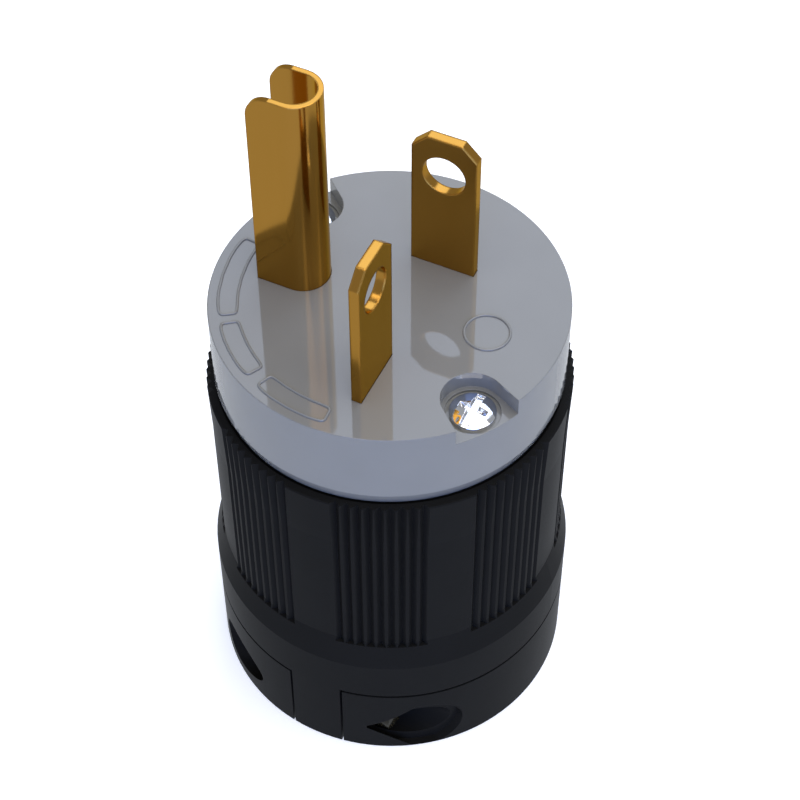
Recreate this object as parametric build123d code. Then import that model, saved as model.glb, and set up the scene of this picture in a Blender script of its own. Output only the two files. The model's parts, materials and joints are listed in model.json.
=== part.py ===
from build123d import *
import os
from math import cos, radians, sin, tan

# Three-wire straight blade plug, standing on its cord end with the blades up.
# Millimetres. +Z is the plug's axis and z = 0 is the cord end.
# The ground pin is on the -X side; one flat blade lies across +Y and the other, turned, at -Y.
os.makedirs("parts", exist_ok=True)

# Heights along the axis
body_height = 49.5
face_skirt_height = 9.25
collar_height = 15.0
shoulder_height = 3.4
jaw_height = 9.6
floor_thickness = 2.5

# Face
face_radius = 16.75
face_thickness = 3.4
face_skirt_wall = 1.9
face_edge = 0.05
skirt_bevel_width = 0.35
skirt_bevel_height = 1.25

# Housing: each radius steps out from the one above it, starting at the face
ledge_overhang = 0.6
ledge_edge = 0.1
rim_flare = 0.15
rim_flare_height = 6.0
reveal_inset = 0.1
reveal_width = 0.3
reveal_depth = 0.6
shoulder_width = 0.85
base_chamfer = 0.1
grip_wall = 2.5
cord_hole_radius = 8.0
rib_reach = 2.2
rib_root = 0.5
rib_thickness = 1.6
rib_angles = (60, 120, 240, 300)

# Grip: groups of V grooves with plain fields between them
groove_groups = 8
grooves_per_group = 9
groove_pitch_angle = 3.4
groove_width = 0.72
groove_depth = 0.4
groove_run_out = 0.6
first_group_angle = 22.2

# Seams, clearances, and how far a cutter or a boss runs past a face
jaw_top_gap = 0.32
jaw_side_gap = 0.24
slot_clearance = 0.02
screw_clearance = 0.15
thread_clearance = 0.04
nest_clearance = 0.2
overrun = 1.0

# Flat blades
blade_width = 6.35
blade_thickness = 0.95
blade_length = 15.7
blade_corner = 1.47
blade_hole_radius = 2.1
blade_hole_height = 11.56
blade_tang = 1.2
blade_tang_height = 1.5
blade_line_x = 2.67
blade_a_y = 6.18
blade_b_y = -9.21

# Folded ground pin
pin_length = 22.5
pin_radius = 2.55
pin_wall = 0.55
pin_side = 3.5
pin_corner_radius = 2.2
pin_x = -8.67
pin_y = -0.31
pin_root = 2.1
pin_tail_width = 5.6

# Terminal block and its chambers
block_height = 12.6
chamber_width = 7.8
chamber_floor = 2.5
chamber_roof = 1.5
tail_height = 10.1
terminal_drop = 5.9
wire_hole_radius = 2.1

# Terminal screws and their pressure plates
terminal_screw_radius = 1.55
terminal_head_radius = 2.9
terminal_head_height = 1.8
terminal_head_edge = 0.4
terminal_screw_reach = 4.4
plate_width = 6.6
plate_height = 6.4
plate_thickness = 1.0
tooth_height = 0.25
tooth_offset = 2.2
slot_width = 0.9
slot_depth = 0.9

# Face screws, their pockets in the face and the inserts in the housing
face_screw_inset = 2.65
face_screw_angle = -33.0
face_screw_radius = 1.42
face_screw_length = 12.5
face_head_radius = 2.12
face_head_height = 1.0
face_head_edge = 0.35
head_sink = 0.3
pocket_radius = 2.95
pocket_depth = 1.8
pocket_flare = 7.5
seat_clearance = 0.43
post_radius = 3.2
insert_radius = 2.2
insert_length = 6.0
insert_sink = 0.2
recess_depth = 0.75
recess_turn = 31.7
recess_slot = 3.5
recess_cross = 2.5
recess_web = 0.55

# Cord clamp, with a round dish round each screw head whose thin end is cut to a point
strip_half_width = 2.7
saddle_radius = 7.6
tooth_count = 3
saddle_tooth = 0.7
clamp_screw_inset = 3.8
clamp_screw_z = 3.7
clamp_screw_radius = 1.42
clamp_seat = 4.9
clamp_head_radius = 1.95
clamp_head_height = 2.1
clamp_head_edge = 0.4
head_bore_radius = 2.25
nut_radius = 2.1
nut_length = 1.9
nut_bore_radius = 2.4
dish_radius = 3.87
dish_tilt = 17.7
dish_shift = 3.35
dish_depth = 0.8
dish_point_reach = 3.1
dish_point_slope = 60.0
dish_margin = 0.2

# Sizes that follow from those above
grip_radius = face_radius + ledge_overhang
reveal_outer = face_radius - reveal_inset
reveal_inner = reveal_outer - reveal_width
collar_radius = grip_radius + shoulder_width
cavity_radius = grip_radius - grip_wall
skirt_inner = face_radius - face_skirt_wall
block_radius = min(cavity_radius, skirt_inner) - nest_clearance
face_screw_ring = face_radius - face_screw_inset
clamp_screw_y = collar_radius - clamp_screw_inset
face_top = body_height
rim_z = body_height - face_skirt_height
disc_under = face_top - face_thickness
floor_z = jaw_height + jaw_top_gap
cavity_z = floor_z + floor_thickness
shoulder_top = collar_height + shoulder_height
groove_end = shoulder_top - groove_run_out
block_bottom = disc_under - block_height
terminal_z = disc_under - terminal_drop
pocket_floor = face_top - pocket_depth
head_seat_z = pocket_floor - head_sink
blade_outer = blade_thickness / 2
tail_bottom = disc_under - tail_height
far = body_height + pin_length + collar_radius


def block_between(x0, x1, y0, y1, z0, z1):
    size = (x1 - x0, y1 - y0, z1 - z0)
    return Pos((x0 + x1) / 2, (y0 + y1) / 2, (z0 + z1) / 2) * Box(*size)


def upright(radius, z0, z1, x=0, y=0):
    return Pos(x, y, (z0 + z1) / 2) * Cylinder(radius, z1 - z0)


def along_x(radius, x0, x1, y=0, z=0):
    return Pos((x0 + x1) / 2, y, z) * Rot(0, 90, 0) * Cylinder(radius, x1 - x0)


def turned(*points):
    profile = make_face(Polyline(*points, close=True))
    return revolve(Plane.XZ * profile, Axis.Z)


def turn(angle, shape):
    return Rot(0, 0, angle) * shape


def bevelled_head(radius, height, edge):
    """Turned screw head on z = 0 with a bevelled top."""
    return turned((0, 0), (radius, 0), (radius, height - edge), (radius - edge, height), (0, height))


def slotted_head(radius, height, edge):
    """The same head with one straight slot across it."""
    slot = block_between(-slot_width / 2, slot_width / 2, -far, far, height - slot_depth, far)
    return bevelled_head(radius, height, edge) - slot


# Housing: one moulding with the grip, the shoulder, the collar and the two strips between the jaws
def groove_cutter():
    bottom = grip_radius - groove_depth
    outside = grip_radius + groove_depth
    section = make_face(Polyline(
        (bottom, 0), (outside, groove_width), (outside, -groove_width), close=True))
    cutter = extrude(section, rim_z - groove_end + overrun)
    return Pos(0, 0, groove_end) * cutter


def groove_angles():
    group_step = 360 / groove_groups
    middle = (grooves_per_group - 1) / 2
    for group in range(groove_groups):
        for place in range(grooves_per_group):
            yield first_group_angle + group * group_step + (place - middle) * groove_pitch_angle


def housing():
    body = turned(
        (cord_hole_radius, 0),
        (collar_radius - base_chamfer, 0),
        (collar_radius, base_chamfer),
        (collar_radius, collar_height),
        (grip_radius, shoulder_top),
        (grip_radius, rim_z - rim_flare_height),
        (grip_radius + rim_flare, rim_z - ledge_edge),
        (grip_radius + rim_flare - ledge_edge, rim_z),
        (reveal_outer, rim_z),
        (reveal_outer, rim_z - reveal_depth),
        (reveal_inner, rim_z - reveal_depth),
        (reveal_inner, rim_z),
        (cavity_radius, rim_z),
        (cavity_radius, cavity_z),
        (cord_hole_radius, cavity_z),
    )
    for side in (-1, 1):
        inner, outer = sorted((side * strip_half_width, side * far))
        body -= block_between(inner, outer, -far, far, -far, floor_z)
    posts = []
    for angle in (face_screw_angle, face_screw_angle + 180):
        post = upright(post_radius, cavity_z, rim_z, face_screw_ring)
        posts.append(turn(angle, post))
    ribs = []
    for angle in rib_angles:
        rib = block_between(cavity_radius - rib_reach, cavity_radius + rib_root,
                            -rib_thickness / 2, rib_thickness / 2, cavity_z, block_bottom)
        ribs.append(turn(face_screw_angle + angle, rib))
    inside = upright(cavity_radius + rib_root, cavity_z, rim_z)
    for added in posts + ribs:
        body += added & inside
    insert_bottom = rim_z - insert_sink - insert_length
    screw_hole_bottom = head_seat_z - face_screw_length - overrun
    for angle in (face_screw_angle, face_screw_angle + 180):
        body -= turn(angle, upright(insert_radius, insert_bottom, far, face_screw_ring))
        body -= turn(angle, upright(face_screw_radius + screw_clearance,
                                    screw_hole_bottom, far, face_screw_ring))
    for side in (-1, 1):
        body -= along_x(clamp_screw_radius + screw_clearance, -far, far,
                        side * clamp_screw_y, clamp_screw_z)
    cutter = groove_cutter()
    body -= [turn(angle, cutter) for angle in groove_angles()]
    return body


# Cord clamp: two like jaws, the second turned half way round the axis
def dish():
    """Shallow round hollow at the screw's head, cut to a point at its thin end and kept off the base."""
    slope = tan(radians(dish_point_slope))
    tip = -clamp_screw_y - dish_point_reach
    limits = make_face(Polyline(
        (tip, clamp_screw_z), (tip + far / slope, clamp_screw_z + far), (far, clamp_screw_z + far),
        (far, dish_margin), (tip + (clamp_screw_z - dish_margin) / slope, dish_margin), close=True))
    hollow = turn(-dish_tilt, along_x(dish_radius, 0, far, dish_shift - clamp_screw_y, clamp_screw_z))
    hollow &= extrude(Plane.YZ * limits, far)
    return hollow - upright(collar_radius - dish_depth, -far, far)


def jaw():
    tooth_pitch = jaw_height / tooth_count
    saddle = [(saddle_radius, 0)]
    for tooth in range(tooth_count):
        saddle.append((saddle_radius - saddle_tooth, (tooth + 0.5) * tooth_pitch))
        saddle.append((saddle_radius, (tooth + 1) * tooth_pitch))
    ring = turned(
        *saddle,
        (collar_radius, jaw_height),
        (collar_radius, base_chamfer),
        (collar_radius - base_chamfer, 0),
    )
    piece = ring & block_between(strip_half_width + jaw_side_gap, far, -far, far, -far, far)
    for side in (-1, 1):
        piece -= along_x(clamp_screw_radius + screw_clearance, 0, far,
                         side * clamp_screw_y, clamp_screw_z)
    piece -= along_x(head_bore_radius, clamp_seat, far, -clamp_screw_y, clamp_screw_z)
    piece -= along_x(nut_bore_radius, clamp_seat, far, clamp_screw_y, clamp_screw_z)
    return piece - dish()


def clamp_screw():
    head = slotted_head(clamp_head_radius, clamp_head_height, clamp_head_edge)
    shank = upright(clamp_screw_radius, -2 * clamp_seat - nut_length, 0)
    return Pos(clamp_seat, -clamp_screw_y, clamp_screw_z) * Rot(0, 90, 0) * (head + shank)


def clamp_nut():
    nut = upright(nut_radius, 0, nut_length)
    nut -= upright(clamp_screw_radius + thread_clearance, -far, far)
    return Pos(-clamp_seat, -clamp_screw_y, clamp_screw_z) * Rot(0, -90, 0) * nut


# Flat blade, upright in the XZ plane with its middle on the axis
def blade():
    half = blade_width / 2
    top = face_top + blade_length
    tang = half + blade_tang
    tang_bottom = disc_under - blade_tang_height
    right_side = [
        (half, tail_bottom), (half, tang_bottom), (tang, tang_bottom), (tang, disc_under),
        (half, disc_under), (half, top - blade_corner), (half - blade_corner, top)]
    left_side = [(-x, z) for x, z in reversed(right_side)]
    outline = Polyline(*right_side, *left_side, close=True)
    plate = extrude(Plane.XZ * make_face(outline), blade_thickness / 2, both=True)
    plate -= Rot(90, 0, 0) * upright(blade_hole_radius, -far, far, 0, face_top + blade_hole_height)
    plate -= Rot(90, 0, 0) * upright(terminal_screw_radius + thread_clearance, -far, far, 0, terminal_z)
    return plate


blade_a_place = Pos(blade_line_x, blade_a_y, 0)
blade_b_place = Pos(blade_line_x, blade_b_y, 0) * Rot(0, 0, -90)


# Ground pin: one sheet folded to a U, its round back towards the blades
def pin_section(offset):
    """The U in plan, with every side moved out by the offset."""
    outer = pin_radius + offset
    inner = pin_radius - pin_wall - offset
    length = pin_side + offset
    legs = Pos(-length / 2, 0) * Rectangle(length, 2 * outer)
    gap = Pos(-length / 2, 0) * Rectangle(length, 2 * inner)
    return Circle(outer) + legs - Circle(inner) - gap


def ground_pin():
    top = face_top + pin_length
    root = disc_under - pin_root
    sheet = Pos(0, 0, root) * extrude(pin_section(0), top - root)
    corner_x = pin_corner_radius - pin_side
    corner_z = top - pin_corner_radius
    corner = block_between(-far, corner_x, -pin_radius, pin_radius, corner_z, far)
    corner -= Pos(corner_x, 0, corner_z) * Rot(90, 0, 0) * Cylinder(
        pin_corner_radius, 2 * pin_radius + overrun)
    tail = block_between(pin_radius - pin_wall, pin_radius, -pin_tail_width / 2, pin_tail_width / 2,
                         tail_bottom, disc_under - slot_clearance)
    tail -= along_x(terminal_screw_radius + thread_clearance, 0, far, 0, terminal_z)
    return Pos(pin_x, pin_y, 0) * (sheet - corner + tail)


def cutter_for_blade(z0, z1, tang):
    half_width = blade_width / 2 + tang + slot_clearance
    half_gap = blade_outer + slot_clearance
    return block_between(-half_width, half_width, -half_gap, half_gap, z0, z1)


# Terminals: each is described with the blade's outer face on y = 0 and the screw coming in along -y
def pressure_plate():
    plate = block_between(-plate_width / 2, plate_width / 2, tooth_height, tooth_height + plate_thickness,
                          -plate_height / 2, plate_height / 2)
    ridge = make_face(Polyline(
        (-tooth_height, tooth_height), (0, 0), (tooth_height, tooth_height), close=True))
    tooth = extrude(ridge, plate_height / 2, both=True)
    for side in (-1, 1):
        plate += Pos(side * tooth_offset, 0, 0) * tooth
    return plate - Rot(90, 0, 0) * upright(terminal_screw_radius + screw_clearance, -far, far)


def terminal_screw():
    head = slotted_head(terminal_head_radius, terminal_head_height, terminal_head_edge)
    screw = head + upright(terminal_screw_radius, -terminal_screw_reach, 0)
    return Pos(0, tooth_height + plate_thickness, 0) * Rot(-90, 0, 0) * screw


def chamber():
    """The hollow outside one terminal, with the wire's hole below it and the screw's hole behind it."""
    half = chamber_width / 2
    floor = block_bottom + chamber_floor
    room = block_between(-half, half, 0, far, floor, disc_under - chamber_roof)
    wire_y = wire_hole_radius + tooth_height
    wire = upright(wire_hole_radius, block_bottom - overrun, floor + overrun, 0, wire_y)
    relief = Rot(90, 0, 0) * upright(terminal_screw_radius + screw_clearance, 0,
                                     terminal_screw_reach + overrun, 0, terminal_z)
    return room + wire + relief


terminal_a_place = Pos(blade_line_x, blade_a_y + blade_outer, 0)
terminal_b_place = Pos(blade_line_x + blade_outer, blade_b_y, 0) * Rot(0, 0, -90)
terminal_ground_place = Pos(pin_x + pin_radius - pin_wall, pin_y, 0) * Rot(0, 0, 90)
terminals = {"a": terminal_a_place, "b": terminal_b_place, "ground": terminal_ground_place}


def terminal_block():
    body = upright(block_radius, block_bottom, disc_under)
    for place in (blade_a_place, blade_b_place):
        body -= place * cutter_for_blade(tail_bottom - slot_clearance, far, 0)
        body -= place * cutter_for_blade(disc_under - blade_tang_height - slot_clearance, far, blade_tang)
    pin = Pos(pin_x, pin_y, 0)
    body -= pin * Pos(0, 0, disc_under - pin_root - slot_clearance) * extrude(
        pin_section(slot_clearance), block_height)
    body -= pin * block_between(
        pin_radius - pin_wall - slot_clearance, pin_radius + slot_clearance,
        -pin_tail_width / 2 - slot_clearance, pin_tail_width / 2 + slot_clearance,
        tail_bottom - slot_clearance, far)
    for place in terminals.values():
        body -= place * chamber()
    for angle in (face_screw_angle, face_screw_angle + 180):
        body -= turn(angle, upright(post_radius + nest_clearance, -far, far, face_screw_ring))
    return body


# Face: disc and skirt in one moulding, with a boss under each screw
def face_cap():
    body = turned((0, disc_under), (0, face_top), (face_radius - face_edge, face_top),
                  (face_radius, face_top - face_edge), (face_radius, rim_z + skirt_bevel_height),
                  (face_radius - skirt_bevel_width, rim_z), (skirt_inner, rim_z), (skirt_inner, disc_under))
    outside = upright(face_radius - skirt_bevel_width, rim_z, disc_under + overrun)
    for angle in (face_screw_angle, face_screw_angle + 180):
        body += turn(angle, upright(post_radius, rim_z, disc_under + overrun, face_screw_ring)) & outside
    for angle in (face_screw_angle, face_screw_angle + 180):
        body -= turn(angle, screw_pocket())
    for place in (blade_a_place, blade_b_place):
        body -= place * cutter_for_blade(0, far, 0)
    body -= Pos(pin_x, pin_y, 0) * extrude(pin_section(slot_clearance), far)
    return body


def screw_pocket():
    flare = radians(pocket_flare)
    start = (face_screw_ring - pocket_radius * sin(flare), pocket_radius * cos(flare))
    end = (start[0] + far * cos(flare), start[1] + far * sin(flare))
    mouth = make_face(Polyline(start, end, (end[0], -end[1]), (start[0], -start[1]), close=True))
    outline = Pos(face_screw_ring, 0) * Circle(pocket_radius) + mouth
    pocket = Pos(0, 0, pocket_floor) * extrude(outline, far)
    seat = upright(face_head_radius + seat_clearance, head_seat_z, far, face_screw_ring)
    hole = upright(face_screw_radius + screw_clearance, 0, far, face_screw_ring)
    return pocket + seat + hole


def face_screw():
    head = bevelled_head(face_head_radius, face_head_height, face_head_edge)
    half_web = recess_web / 2
    floor = face_head_height - recess_depth
    recess = block_between(-half_web, half_web, -recess_slot / 2, recess_slot / 2, floor, far)
    recess += block_between(-recess_cross / 2, recess_cross / 2, -half_web, half_web, floor, far)
    head -= turn(recess_turn, recess)
    shank = upright(face_screw_radius, -face_screw_length, 0)
    return Pos(face_screw_ring, 0, head_seat_z) * (head + shank)


def threaded_insert():
    top = rim_z - insert_sink
    sleeve = upright(insert_radius, top - insert_length, top)
    sleeve -= upright(face_screw_radius + thread_clearance, 0, far)
    return Pos(face_screw_ring, 0, 0) * sleeve


pieces = {
    "housing": housing(),
    "face_cap": face_cap(),
    "blade_a": blade_a_place * blade(),
    "blade_b": blade_b_place * blade(),
    "ground_pin": ground_pin(),
    "terminal_block": terminal_block(),
    "jaw_right": jaw(),
    "jaw_left": turn(180, jaw()),
}
for name, place in terminals.items():
    pieces["terminal_screw_" + name] = place * Pos(0, 0, terminal_z) * terminal_screw()
    pieces["wire_clamp_" + name] = place * Pos(0, 0, terminal_z) * pressure_plate()
for name, half_turn in (("front", 0), ("rear", 180)):
    pieces["face_screw_" + name] = turn(face_screw_angle + half_turn, face_screw())
    pieces["insert_" + name] = turn(face_screw_angle + half_turn, threaded_insert())
    pieces["clamp_screw_" + name] = turn(half_turn, clamp_screw())
    pieces["clamp_nut_" + name] = turn(half_turn, clamp_nut())

for name, piece in pieces.items():
    export_step(piece, f"parts/{name}.step")
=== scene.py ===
import json
import math

import bpy
import numpy as np
from mathutils import Matrix, Vector


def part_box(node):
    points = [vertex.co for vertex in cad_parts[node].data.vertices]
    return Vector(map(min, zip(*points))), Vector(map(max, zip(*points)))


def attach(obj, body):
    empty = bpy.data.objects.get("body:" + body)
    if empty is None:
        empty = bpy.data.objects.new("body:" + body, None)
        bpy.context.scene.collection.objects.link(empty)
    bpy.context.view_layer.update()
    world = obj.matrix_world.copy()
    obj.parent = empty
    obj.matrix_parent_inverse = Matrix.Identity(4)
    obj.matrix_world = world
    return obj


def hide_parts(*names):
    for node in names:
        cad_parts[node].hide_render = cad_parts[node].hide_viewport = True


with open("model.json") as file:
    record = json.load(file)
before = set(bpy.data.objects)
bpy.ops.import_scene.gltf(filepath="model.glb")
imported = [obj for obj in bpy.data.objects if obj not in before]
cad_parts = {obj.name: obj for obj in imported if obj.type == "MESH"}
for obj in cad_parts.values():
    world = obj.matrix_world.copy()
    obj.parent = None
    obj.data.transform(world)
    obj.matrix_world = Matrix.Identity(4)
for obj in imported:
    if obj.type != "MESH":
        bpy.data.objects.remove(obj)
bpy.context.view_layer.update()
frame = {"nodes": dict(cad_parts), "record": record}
print("stage: frame loaded,", len(frame["nodes"]), "nodes")

millimetre = 0.001
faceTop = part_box("face_cap")[1][2]


# sRGB hex to linear colour: the sRGB curve undone channel by channel
def linear(hexColour, alpha=1.0):
    channels = np.array([int(hexColour[i:i + 2], 16) for i in (1, 3, 5)]) / 255
    curve = np.where(channels <= 0.04045, channels / 12.92, ((channels + 0.055) / 1.055) ** 2.4)
    return (*curve.tolist(), alpha)


# Noise and wave scales count repeats per metre, so a size in millimetres turns over
def repeats(sizeInMm):
    return 1 / (sizeInMm * millimetre)


# A node with its sockets' values, its incoming links and its own choices
def addNode(tree, kind, settings=None, links=None, **choices):
    node = tree.nodes.new(kind)
    for name, value in choices.items():
        setattr(node, name, value)
    for socket, value in (settings or {}).items():
        node.inputs[socket].default_value = value
    for socket, source in (links or {}).items():
        tree.links.new(source, node.inputs[socket])
    return node


noiseDetail = {"cloud": 3.0, "fine": 4.0}
bevelSamples = 6


# Two tones mixed by a soft noise, and a finer noise for both the roughness and the bump
def surface(name, look):
    material = bpy.data.materials.new(name)
    material.use_nodes = True
    tree = material.node_tree
    tree.nodes.clear()
    place = addNode(tree, "ShaderNodeTexCoord").outputs["Object"]
    stretch = addNode(tree, "ShaderNodeMapping", {"Scale": look.get("grain", (1, 1, 1))}, {"Vector": place})
    place = stretch.outputs["Vector"]
    cloud = addNode(tree, "ShaderNodeTexNoise",
                    {"Scale": repeats(look["cloudMm"]), "Detail": noiseDetail["cloud"]}, {"Vector": place})
    tone = addNode(tree, "ShaderNodeMixRGB",
                   {"Color1": linear(look["tones"][0]), "Color2": linear(look["tones"][1])},
                   {"Fac": cloud.outputs["Fac"]})
    fine = addNode(tree, "ShaderNodeTexNoise",
                   {"Scale": repeats(look["fineMm"]), "Detail": noiseDetail["fine"]}, {"Vector": place})
    rough = addNode(tree, "ShaderNodeMapRange",
                    {"To Min": look["roughness"][0], "To Max": look["roughness"][1]},
                    {"Value": fine.outputs["Fac"]})
    bump = addNode(tree, "ShaderNodeBump", {"Strength": 1.0, "Distance": look["bumpMm"] * millimetre},
                   {"Height": fine.outputs["Fac"]})
    if look.get("edgeMm"):
        edge = addNode(tree, "ShaderNodeBevel", {"Radius": look["edgeMm"] * millimetre},
                       samples=bevelSamples)
        tree.links.new(edge.outputs["Normal"], bump.inputs["Normal"])
    shader = addNode(tree, "ShaderNodeBsdfPrincipled", look["shader"], {
        "Base Color": tone.outputs["Color"],
        "Roughness": rough.outputs["Result"],
        "Normal": bump.outputs["Normal"],
    })
    addNode(tree, "ShaderNodeOutputMaterial", links={"Surface": shader.outputs["BSDF"]})
    return material


# Tones are sRGB; cloudMm and fineMm are the sizes of the two noises, bumpMm the height of the finer one,
# edgeMm the radius that edges seem to have, and grain how far the noises are squeezed along each axis
looks = {
    # Glass-filled nylon from a polished mould: near black, satin, with hardly any sheen of its own
    "mouldedBlackNylon": {
        "tones": ("#181817", "#1B1B1A"), "cloudMm": 4.0, "fineMm": 0.22, "roughness": (0.3, 0.4),
        "bumpMm": 0.003, "edgeMm": 0.06,
        "shader": {"Metallic": 0.0, "IOR": 1.52, "Specular IOR Level": 0.02},
    },
    # The same nylon from a smaller mould: its skin is a little smoother and its clouds are closer
    "mouldedBlackJaw": {
        "tones": ("#181817", "#1B1B1A"), "cloudMm": 3.0, "fineMm": 0.2, "roughness": (0.28, 0.38),
        "bumpMm": 0.003, "edgeMm": 0.06,
        "shader": {"Metallic": 0.0, "IOR": 1.52, "Specular IOR Level": 0.02},
    },
    # Grey nylon from a high-gloss mould: clear reflections over a softly clouded grey
    "glossyGreyNylon": {
        "tones": ("#757673", "#7B7C79"), "cloudMm": 5.0, "fineMm": 0.5, "roughness": (0.03, 0.06),
        "bumpMm": 0.0004, "edgeMm": 0.1,
        "shader": {"Metallic": 0.0, "IOR": 1.56, "Specular IOR Level": 0.5},
    },
    # Rolled sheet brass, blanked and lightly tumbled: drawn lines run along the plug's axis
    "rolledBladeBrass": {
        "tones": ("#B58538", "#BD8C40"), "cloudMm": 2.5, "fineMm": 0.12, "roughness": (0.14, 0.2),
        "bumpMm": 0.0009, "edgeMm": 0.3, "grain": (1, 1, 0.06),
        "shader": {"Metallic": 1.0, "Specular Tint": linear("#ECD9B0")},
    },
    # The same sheet folded to the pin: burnished by the folding tools, so it mirrors more sharply
    "foldedPinBrass": {
        "tones": ("#B58538", "#BD8C40"), "cloudMm": 2.5, "fineMm": 0.1, "roughness": (0.09, 0.15),
        "bumpMm": 0.0008, "edgeMm": 0.2, "grain": (1, 1, 0.05),
        "shader": {"Metallic": 1.0, "Specular Tint": linear("#ECD9B0")},
    },
    # Turned free-cutting brass: fine rings round the axis
    "turnedInsertBrass": {
        "tones": ("#C79F57", "#D1AC66"), "cloudMm": 1.2, "fineMm": 0.08, "roughness": (0.22, 0.34),
        "bumpMm": 0.003, "grain": (0.2, 0.2, 1),
        "shader": {"Metallic": 1.0},
    },
    # Compression-moulded phenolic: brown-black, matt, slightly mottled by its filler
    "mouldedPhenolic": {
        "tones": ("#241F1D", "#352E2A"), "cloudMm": 0.8, "fineMm": 0.15, "roughness": (0.45, 0.62),
        "bumpMm": 0.006,
        "shader": {"Metallic": 0.0, "IOR": 1.6},
    },
    # Turned brass screws of the terminals: paler than the sheet, with a fine even grain
    "turnedScrewBrass": {
        "tones": ("#B99A55", "#CBAC68"), "cloudMm": 1.0, "fineMm": 0.1, "roughness": (0.2, 0.34),
        "bumpMm": 0.002,
        "shader": {"Metallic": 1.0},
    },
    # Green-dyed zinc plating marks the earth terminal
    "greenPlatedScrew": {
        "tones": ("#1E6B34", "#2A7F40"), "cloudMm": 1.0, "fineMm": 0.1, "roughness": (0.22, 0.34),
        "bumpMm": 0.002,
        "shader": {"Metallic": 0.85},
    },
    # Stamped steel strip: a dull grey that blurs what it mirrors
    "stampedSteelPlate": {
        "tones": ("#A9ABA8", "#BDBEBA"), "cloudMm": 1.5, "fineMm": 0.12, "roughness": (0.26, 0.4),
        "bumpMm": 0.003,
        "shader": {"Metallic": 1.0},
    },
    # Bright nickel-chrome plating over cold-headed steel: nearly a mirror
    "chromePlatedSteel": {
        "tones": ("#DCDEE2", "#E8E9EC"), "cloudMm": 0.9, "fineMm": 0.34, "roughness": (0.03, 0.07),
        "bumpMm": 0.008,
        "shader": {"Metallic": 1.0},
    },
    # Zinc-plated steel with its tone painted dark olive-brown: painted shade, standing for the shade deep
    # in the jaws' pockets; its small glints come from its gloss
    "shadeDarkenedZinc": {
        "tones": ("#1C1910", "#242015"), "cloudMm": 0.7, "fineMm": 0.15, "roughness": (0.12, 0.2),
        "bumpMm": 0.001, "edgeMm": 0.08,
        "shader": {"IOR": 1.5, "Specular IOR Level": 0.25},
    },
}
materials = {name: surface(name, look) for name, look in looks.items()}

slotLooks = {
    "body_nylon": "mouldedBlackNylon",
    "jaw_nylon": "mouldedBlackJaw",
    "face_nylon": "glossyGreyNylon",
    "blade_brass": "rolledBladeBrass",
    "pin_brass": "foldedPinBrass",
    "insert_brass": "turnedInsertBrass",
    "block_moulding": "mouldedPhenolic",
    "terminal_steel": "turnedScrewBrass",
    "ground_screw": "greenPlatedScrew",
    "plate_steel": "stampedSteelPlate",
    "screw_chrome": "chromePlatedSteel",
    "clamp_steel": "shadeDarkenedZinc",
}
for part in frame["record"]["subparts"]:
    for slot in frame["nodes"][part["node"]].material_slots:
        slot.material = materials[slotLooks[part["material_slot"]]]


# A smooth-shaded mesh from points in metres in the frame, with its look
def makePiece(name, points, faces, material):
    mesh = bpy.data.meshes.new(name)
    mesh.from_pydata(points.tolist(), [], faces)
    mesh.update()
    mesh.polygons.foreach_set("use_smooth", np.full(len(mesh.polygons), True))
    piece = bpy.data.objects.new(name, mesh)
    bpy.context.scene.collection.objects.link(piece)
    mesh.materials.append(materials[material])
    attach(piece, "root")
    return piece


# Quads over a grid of rows by columns whose columns close on themselves, and whose rows may too
def gridFaces(rows, columns, closedRows):
    lastRow = rows if closedRows else rows - 1
    row, column = np.meshgrid(np.arange(lastRow), np.arange(columns), indexing="ij")
    nextRow, nextColumn = (row + 1) % rows, (column + 1) % columns
    corners = [row * columns + column, row * columns + nextColumn,
               nextRow * columns + nextColumn, nextRow * columns + column]
    return np.stack([c.ravel() for c in corners], axis=1).tolist()


# Lengths in mm and angles in degrees from +X
marks = {
    "height": 0.16,        # above the face
    "sink": 0.05,          # of the root inside the face
    "halfWidth": 0.14,
    "frameInner": 13.95,   # radii of the three blank frames along the rim
    "frameOuter": 15.75,
    "frameAngles": ((-86, -113), (-118.5, -143), (-147, -184)),
    "squareness": 7.0,     # the superellipse's power: 2 would be an oval
    "ringCentre": (9.81, -0.07),
    "ringRadius": 2.1,
    "pathPoints": 160,
    "sectionPoints": 12,
}


# Half-round bead along a closed path: across = half width x cosine, up = height x sine, with a shallow
# root below
def bead(name, path):
    ahead = np.roll(path, -1, axis=0) - np.roll(path, 1, axis=0)
    ahead /= np.linalg.norm(ahead, axis=1, keepdims=True)
    across = np.stack([ahead[:, 1], -ahead[:, 0]], axis=1)
    turn = np.linspace(0, 2 * np.pi, marks["sectionPoints"], endpoint=False)
    rise = np.sin(turn) * np.where(np.sin(turn) > 0, marks["height"], marks["sink"])
    flat = path[:, None, :] + across[:, None, :] * (np.cos(turn) * marks["halfWidth"])[None, :, None]
    height = np.broadcast_to(rise, flat.shape[:2])[..., None] + faceTop / millimetre
    points = np.concatenate([flat, height], axis=2).reshape(-1, 3) * millimetre
    faces = gridFaces(len(path), marks["sectionPoints"], True)
    return makePiece(name, points, faces, "glossyGreyNylon")


# Rounded rectangle bent round the axis: a superellipse in angle and radius
def framePath(startAngle, endAngle):
    turn = np.linspace(0, 2 * np.pi, marks["pathPoints"], endpoint=False)
    bend = 2 / marks["squareness"]
    side = np.sign(np.cos(turn)) * np.abs(np.cos(turn)) ** bend
    rise = np.sign(np.sin(turn)) * np.abs(np.sin(turn)) ** bend
    inner, outer = marks["frameInner"], marks["frameOuter"]
    angle = np.radians((startAngle + endAngle) / 2 + side * (startAngle - endAngle) / 2)
    radius = (inner + outer) / 2 + rise * (outer - inner) / 2
    return np.stack([radius * np.cos(angle), radius * np.sin(angle)], axis=1)


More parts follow.
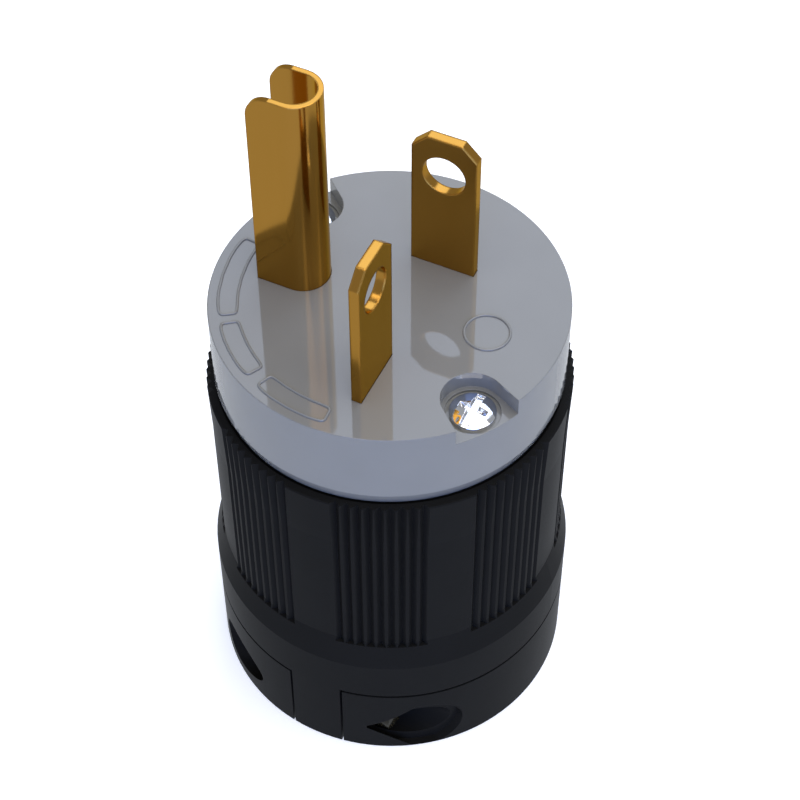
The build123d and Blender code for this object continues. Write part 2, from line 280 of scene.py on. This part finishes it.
for number, (startAngle, endAngle) in enumerate(marks["frameAngles"], 1):
    bead(f"blankFrame{number}", framePath(startAngle, endAngle))
circle = np.linspace(0, 2 * np.pi, marks["pathPoints"], endpoint=False)
ringPath = np.stack([np.cos(circle), np.sin(circle)], axis=1) * marks["ringRadius"] + marks["ringCentre"]
bead("blankRing", ringPath)
print("stage: plain raised marks on the face")

# Lengths in mm and angles in degrees; the slot lies across the screw's own X, which recessAngle turns
faceScrew = {
    "head": (2.12, 0.9, 0.42),     # radius, height and height of the straight rim
    "slot": (3.8, 0.72, 0.62),     # length, width and depth
    "cross": (3.3, 0.6, 0.6),
    "slotWallRun": 0.06,           # how far a wall leans out from floor to top
    "crossEndRun": 0.8,
    "recessAngle": -1.3,
    "thread": (12.5, 1.42, 1.16, 0.79),    # length, radius, root radius and pitch
}
clampScrew = {
    "head": (1.95, 2.9, 2.45),
    "slot": (4.2, 0.8, 0.9),       # longer than the head is wide, so its ends are open
    "slotWallRun": 0.03,
    "recessAngle": 25.0,
    "thread": (11.7, 1.42, 1.16, 0.79),
}
# poleShare is the radius of the head's smallest ring, as a share of the head's
screwGrid = {"around": 216, "headRows": 72, "rowsPerPitch": 8, "tipLength": 0.5, "poleShare": 0.004}


# Height of a head's top: the lower of a crown, which is part of a ball, and the recess's floor with its
# leaning walls
def headHeights(x, y, look):
    radius, height, rim = look["head"]
    crown = height - rim
    ball = (radius ** 2 + crown ** 2) / (2 * crown)
    top = height - ball + np.sqrt(np.maximum(ball ** 2 - x ** 2 - y ** 2, 0))
    angle = math.radians(look["recessAngle"])
    short = np.abs(x * math.cos(angle) + y * math.sin(angle))
    long = np.abs(y * math.cos(angle) - x * math.sin(angle))
    arms = [(long, short, look["slot"], look["slotWallRun"])]
    if "cross" in look:
        arms += [(long, short, look["cross"], look["crossEndRun"]),
                 (short, long, look["cross"], look["crossEndRun"])]
    for along, across, (length, width, depth), endRun in arms:
        rise = (np.maximum(along - length / 2 + endRun, 0) / endRun
                + np.maximum(across - width / 2, 0) / look["slotWallRun"]) * depth
        top = np.minimum(top, height - depth + rise)
    return top


# Rings round the axis from the shank's tip up to the head's top: thread radius = root + depth x triangle
# wave, whose phase runs on by one pitch in each turn and which fades out over the tip
def screwRings(look):
    length, crestRadius, rootRadius, pitch = look["thread"]
    headRadius = look["head"][0]
    turn = np.linspace(0, 2 * np.pi, screwGrid["around"], endpoint=False)
    level = np.linspace(-length, 0, int(length / pitch * screwGrid["rowsPerPitch"]))[:, None]
    crest = 1 - np.abs(2 * ((level / pitch - turn / (2 * np.pi)) % 1) - 1)
    fade = np.clip((level + length) / screwGrid["tipLength"], 0, 1)
    radius = rootRadius + (crestRadius - rootRadius) * crest * fade
    shank = np.stack([radius * np.cos(turn), radius * np.sin(turn), level + 0 * radius], axis=2)
    outward = np.array([crestRadius, headRadius])[:, None]
    under = np.stack([outward * np.cos(turn), outward * np.sin(turn), 0 * outward * turn], axis=2)
    inward = headRadius * np.linspace(1, screwGrid["poleShare"], screwGrid["headRows"])[:, None]
    x, y = inward * np.cos(turn), inward * np.sin(turn)
    return np.concatenate([shank, under, np.stack([x, y, headHeights(x, y, look)], axis=2)])


# Quads between the rings, and one face over the ring at each end
def ringFaces(rows, columns):
    faces = gridFaces(rows, columns, False)
    faces.append(list(range(columns))[::-1])
    faces.append(list(range((rows - 1) * columns, rows * columns)))
    return faces


# The screw's own axes go to the three given frame directions, and its seat to the given place
def addScrew(name, look, node, seat, directions, material):
    rings = screwRings(look)
    points = rings.reshape(-1, 3) @ np.array(directions, float) * millimetre + seat
    screw = makePiece(name, points, ringFaces(*rings.shape[:2]), material)
    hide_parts(node)


for side in ("front", "rear"):
    low, high = (np.array(corner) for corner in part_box(f"face_screw_{side}"))
    seat = (low + high) / 2
    seat[2] = low[2] + faceScrew["thread"][0] * millimetre
    addScrew(f"threadedFaceScrew{side.title()}", faceScrew, f"face_screw_{side}", seat, np.eye(3),
             "chromePlatedSteel")
    low, high = (np.array(corner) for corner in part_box(f"clamp_screw_{side}"))
    outward, tip = (1, low[0]) if side == "front" else (-1, high[0])
    seat = (low + high) / 2
    seat[0] = tip + outward * clampScrew["thread"][0] * millimetre
    # The clamp screws take the zinc whose dark tone is painted shade
    addScrew(f"threadedClampScrew{side.title()}", clampScrew, f"clamp_screw_{side}", seat,
             ((0, outward, 0), (0, 0, 1), (outward, 0, 0)), "shadeDarkenedZinc")
print("stage: threaded screws with their recesses")

cameraView = {
    "imagePixels": 800,
    "focalPixels": 2066.75,
    "sensorMm": 36.0,
    "azimuth": 25.48,      # degrees round from -Y towards +X
    "elevation": 50.40,
    "roll": -0.18,
    "distanceMm": 189.57,  # from the middle of the face
    "asideMm": 0.947,
    "aboveMm": -9.351,
    "clipMetres": (0.01, 50),
}


# Looks along its azimuth and elevation at the face's middle, then is rolled and moved in its own plane
def makeCamera():
    azimuth, elevation, roll = (math.radians(cameraView[name]) for name in ("azimuth", "elevation", "roll"))
    back = Vector((math.sin(azimuth) * math.cos(elevation), -math.cos(azimuth) * math.cos(elevation),
                   math.sin(elevation)))
    level = Vector((math.cos(azimuth), math.sin(azimuth), 0))
    upright = back.cross(level)
    right = level * math.cos(roll) + upright * math.sin(roll)
    up = upright * math.cos(roll) - level * math.sin(roll)
    offset = back * cameraView["distanceMm"] + right * cameraView["asideMm"] + up * cameraView["aboveMm"]
    place = Vector((0, 0, faceTop)) + offset * millimetre
    data = bpy.data.cameras.new("plugCamera")
    data.sensor_width = cameraView["sensorMm"]
    data.lens = cameraView["sensorMm"] * cameraView["focalPixels"] / cameraView["imagePixels"]
    data.clip_start, data.clip_end = cameraView["clipMetres"]
    camera = bpy.data.objects.new("plugCamera", data)
    bpy.context.scene.collection.objects.link(camera)
    turned = Matrix((right, up, back)).transposed().to_4x4()
    turned.translation = place
    camera.matrix_world = turned
    bpy.context.scene.camera = camera


makeCamera()

studio = {
    # sky over the table, and the pale surroundings below it, which only reflections see
    "skyColour": "#AAACB0",
    "belowColour": "#D3D7DE",
    "horizonBlend": (-0.25, 0.05),     # heights on the unit ball between which one goes over to the other
    "floorTones": ("#F3F3F3", "#F6F6F5"),
    "floorGlow": ("#A0A4A8", 1.05),    # what keeps the table white where the lights fall off
    "floorHalfSide": 3.0,              # metres
    # name: place in metres, size in metres, radiance and colour; each looks at the plug's middle
    "lights": {
        "backTop": ((-0.03, 0.51, 0.6), 0.62, 2.2, "#DAE6FF"),
        "overhead": ((0.16, -0.06, 0.8), 0.8, 2.4, "#FFF7EE"),
        "frontTop": ((0.3, -0.55, 0.55), 0.5, 0.45, "#84B0FF"),
        "leftSide": ((-0.7, -0.15, 0.28), 0.5, 0.5, "#A8C4FF"),
        "frontLow": ((0.33, -0.7, 0.16), 0.7, 3.3, "#7FA4FF"),
        "rightSide": ((0.7, 0.1, 0.3), 0.45, 1.0, "#A0BCFF"),
    },
}


# A square light whose power follows from its radiance: power = radiance x pi x area
def makeLight(name, place, size, radiance, colour):
    data = bpy.data.lights.new(name, "AREA")
    data.shape, data.size = "SQUARE", size
    data.energy = radiance * math.pi * size * size
    data.color = linear(colour)[:3]
    light = bpy.data.objects.new(name, data)
    bpy.context.scene.collection.objects.link(light)
    target = Vector((0, 0, faceTop / 2))
    light.location = place
    light.rotation_mode = "QUATERNION"
    light.rotation_quaternion = (target - Vector(place)).to_track_quat("-Z", "Y")
    light.visible_camera = False


for name, (place, size, radiance, colour) in studio["lights"].items():
    makeLight(name, place, size, radiance, colour)

# The sky's colour goes over to the surroundings' colour below the horizon
world = bpy.data.worlds.new("paleStudio")
world.use_nodes = True
tree = world.node_tree
direction = addNode(tree, "ShaderNodeTexCoord")
parts = addNode(tree, "ShaderNodeSeparateXYZ", links={"Vector": direction.outputs["Generated"]})
height = addNode(tree, "ShaderNodeMapRange",
                 {"From Min": studio["horizonBlend"][0], "From Max": studio["horizonBlend"][1]},
                 {"Value": parts.outputs["Z"]})
around = addNode(tree, "ShaderNodeMixRGB",
                 {"Color1": linear(studio["belowColour"]), "Color2": linear(studio["skyColour"])},
                 {"Fac": height.outputs["Result"]})
tree.links.new(around.outputs["Color"], tree.nodes["Background"].inputs["Color"])
bpy.context.scene.world = world
bpy.context.scene.view_settings.view_transform = "Standard"

# Matt white table top, evenly lit and nearly without shadow, as a light table is
looks["paleFloor"] = {
    "tones": studio["floorTones"], "cloudMm": 60.0, "fineMm": 1.5, "roughness": (0.55, 0.7),
    "bumpMm": 0.01,
    "shader": {"Metallic": 0.0, "Specular IOR Level": 0.2,
               "Emission Color": linear(studio["floorGlow"][0]),
               "Emission Strength": studio["floorGlow"][1]},
}
materials["paleFloor"] = surface("paleFloor", looks["paleFloor"])
half = studio["floorHalfSide"]
floorMesh = bpy.data.meshes.new("floor")
floorCorners = [(-half, -half, 0), (half, -half, 0), (half, half, 0), (-half, half, 0)]
floorMesh.from_pydata(floorCorners, [], [(0, 1, 2, 3)])
floorMesh.materials.append(materials["paleFloor"])
floor = bpy.data.objects.new("floor", floorMesh)
bpy.context.scene.collection.objects.link(floor)
floor.visible_glossy = False
print("stage: camera, lights and floor")
